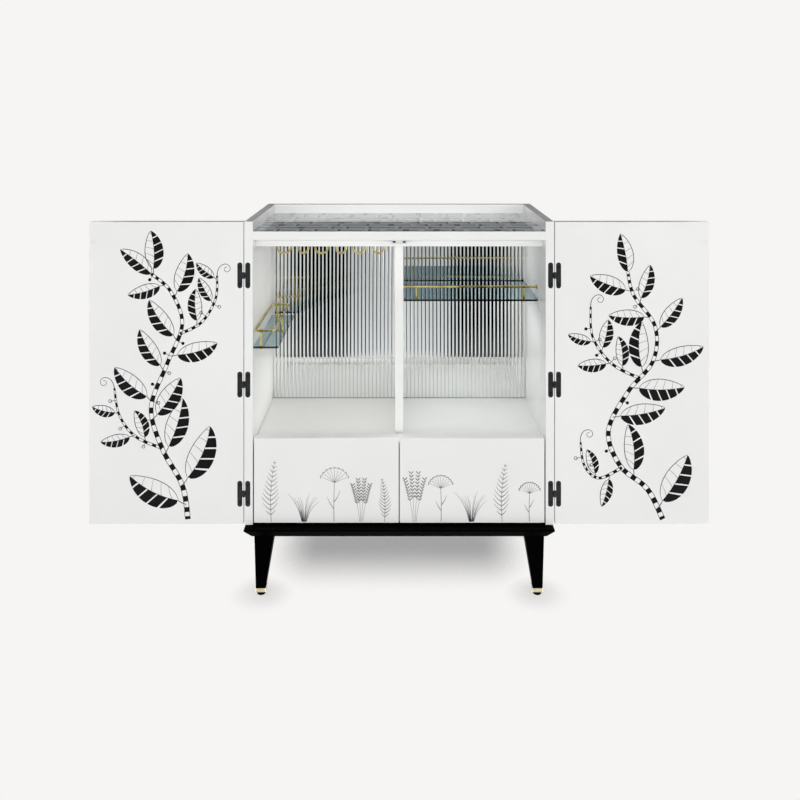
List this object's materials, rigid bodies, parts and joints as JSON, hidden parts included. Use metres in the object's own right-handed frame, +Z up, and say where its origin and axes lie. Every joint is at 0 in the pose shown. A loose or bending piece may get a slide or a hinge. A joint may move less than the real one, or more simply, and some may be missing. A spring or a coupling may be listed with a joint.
{
  "type": "bar cabinet",
  "caption": "Bar cabinet on tapered legs with fold-back doors, galleried tray top, fluted mirror back, glass shelves, stemware holders and drawers.",
  "frame": {"origin": "on the floor at the middle of the footprint", "axes": "+X to the viewer's right, +Y to the back, +Z up"},
  "size_m": [1.6, 0.426, 0.98],
  "materials": {
    "white_lacquer": "glossy white lacquer over board",
    "drawer_box_lacquer": "satin white lacquer inside the drawers",
    "black_lacquer": "black lacquer over wood",
    "polished_brass": "polished brass",
    "pale_brass": "pale satin brass",
    "smoked_glass": "smoked glass with polished edges",
    "fluted_mirror": "silvered fluted glass",
    "hinge_metal": "satin black",
    "hinge_screw": "satin black",
    "plain_steel": "plain steel",
    "slide_steel": "zinc plated steel",
    "glide_plastic": "black nylon",
    "latch_grey": "grey plastic",
    "latch_black": "black plastic",
    "strike_paint": "white paint"
  },
  "bodies": {
    "carcass": {"back_panel": "white_lacquer", "base_board": "black_lacquer", "centre_divider": "white_lacquer", "deck_panel": "white_lacquer", "drawer_divider": "white_lacquer", "drawer_runners_left": "slide_steel", "drawer_runners_right": "slide_steel", "ferrule_back_left": "pale_brass", "ferrule_back_right": "pale_brass", "ferrule_front_left": "pale_brass", "ferrule_front_right": "pale_brass", "fluted_mirror_left": "fluted_mirror", "fluted_mirror_right": "fluted_mirror", "hinge_frame_leaves_left": "hinge_metal", "hinge_frame_leaves_right": "hinge_metal", "hinge_frame_screws": "hinge_screw", "hinge_pins": "hinge_metal", "latch_body": "latch_grey", "left_shelf_gallery": "polished_brass", "left_shelf_glass": "smoked_glass", "leg_back_left": "black_lacquer", "leg_back_right": "black_lacquer", "leg_bolts": "plain_steel", "leg_front_left": "black_lacquer", "leg_front_right": "black_lacquer", "leg_glides": "glide_plastic", "mirror_backing": "white_lacquer", "right_shelf_glass": "smoked_glass", "right_shelf_rail": "polished_brass", "shelf_pins": "plain_steel", "side_panel_left": "white_lacquer", "side_panel_right": "white_lacquer", "stemware_holder_1": "polished_brass", "stemware_holder_2": "polished_brass", "stemware_holder_3": "polished_brass", "top_panel": "white_lacquer", "valance": "white_lacquer"},
    "door_left": {"door_left": "white_lacquer", "hinge_door_leaves_left": "hinge_metal", "hinge_door_screws_left": "hinge_screw", "strike_left": "strike_paint"},
    "drawer_left": {"drawer_back_left": "drawer_box_lacquer", "drawer_bottom_left": "drawer_box_lacquer", "drawer_front_left": "white_lacquer", "drawer_inner_side_left": "drawer_box_lacquer", "drawer_outer_side_left": "drawer_box_lacquer", "drawer_slides_left": "slide_steel"},
    "latch_plunger_left": {"latch_plunger_left": "latch_black"},
    "door_right": {"door_right": "white_lacquer", "hinge_door_leaves_right": "hinge_metal", "hinge_door_screws_right": "hinge_screw", "strike_right": "strike_paint"},
    "drawer_right": {"drawer_back_right": "drawer_box_lacquer", "drawer_bottom_right": "drawer_box_lacquer", "drawer_front_right": "white_lacquer", "drawer_inner_side_right": "drawer_box_lacquer", "drawer_outer_side_right": "drawer_box_lacquer", "drawer_slides_right": "slide_steel"},
    "latch_plunger_right": {"latch_plunger_right": "latch_black"}
  },
  "joints": [
    {"name": "door_left_hinge", "type": "hinge", "parent": "carcass", "child": "door_left", "pos_m": [-0.401, -0.1875, 0.55925], "axis": [0, 0, -1], "range_deg": [-180, 0]},
    {"name": "door_right_hinge", "type": "hinge", "parent": "carcass", "child": "door_right", "pos_m": [0.401, -0.1875, 0.55925], "axis": [0, 0, 1], "range_deg": [-180, 0]},
    {"name": "drawer_left_slide", "type": "slide", "parent": "carcass", "child": "drawer_left", "axis": [0, -1, 0], "range_m": [0, 0.25]},
    {"name": "drawer_right_slide", "type": "slide", "parent": "carcass", "child": "drawer_right", "axis": [0, -1, 0], "range_m": [0, 0.25]},
    {"name": "latch_plunger_left_slide", "type": "slide", "parent": "carcass", "child": "latch_plunger_left", "axis": [0, -1, 0], "range_m": [0, 0.01]},
    {"name": "latch_plunger_right_slide", "type": "slide", "parent": "carcass", "child": "latch_plunger_right", "axis": [0, -1, 0], "range_m": [0, 0.01]}
  ]
}
